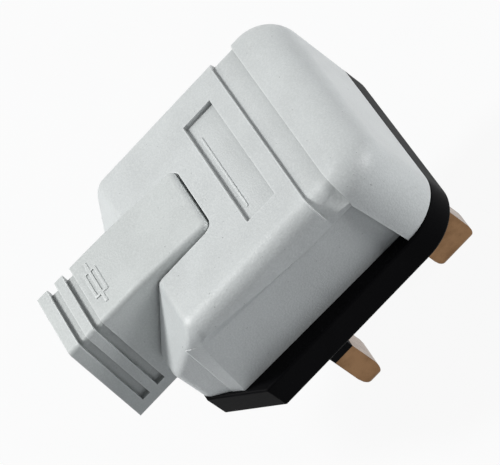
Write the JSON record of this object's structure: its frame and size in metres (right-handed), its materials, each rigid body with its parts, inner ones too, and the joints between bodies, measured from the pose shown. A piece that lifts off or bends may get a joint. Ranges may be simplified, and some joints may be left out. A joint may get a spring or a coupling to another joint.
{
  "type": "three pin plug",
  "caption": "Rewirable fused mains plug with flat brass pins, insulated line pins, a black base, a grey cover with side grip panels and a grooved cable sleeve.",
  "frame": {"origin": "on the engagement face, at the middle of the square that the pin centres mark", "axes": "+Z out of the back of the cover, away from the socket; +Y towards the earth pin's end; +X towards the live pin"},
  "size_m": [0.0476, 0.0595, 0.0485],
  "materials": {
    "base_plastic": "black moulded thermoset with a soft sheen",
    "cover_plastic": "light grey moulded plastic with a fine grain",
    "sleeve_plastic": "light grey flexible plastic with a fine grain",
    "pin_brass": "drawn brass, slightly dulled",
    "insulator_plastic": "black moulded nylon",
    "fuse_ceramic": "unglazed white ceramic",
    "fuse_cap_metal": "nickel plated",
    "clip_bronze": "bright phosphor bronze",
    "terminal_brass": "turned brass",
    "grip_fibre": "red vulcanised fibre",
    "screw_steel": "zinc plated steel"
  },
  "bodies": {
    "root": {"base": "base_plastic", "cover": "cover_plastic", "cable_sleeve": "sleeve_plastic", "earth_pin": "pin_brass", "live_pin": "pin_brass", "neutral_pin": "pin_brass", "live_pin_insulator": "insulator_plastic", "neutral_pin_insulator": "insulator_plastic", "fuse_body": "fuse_ceramic", "fuse_cap_pin_end": "fuse_cap_metal", "fuse_cap_terminal_end": "fuse_cap_metal", "fuse_clip_pin_end": "clip_bronze", "fuse_clip_terminal_end": "clip_bronze", "clip_rivets": "clip_bronze", "live_terminal": "terminal_brass", "terminal_screws": "terminal_brass", "cord_grip_bar": "grip_fibre", "cord_grip_screws": "screw_steel", "cover_screw": "screw_steel", "cover_insert": "terminal_brass", "screw_retaining_washer": "grip_fibre"}
  },
  "joints": []
}
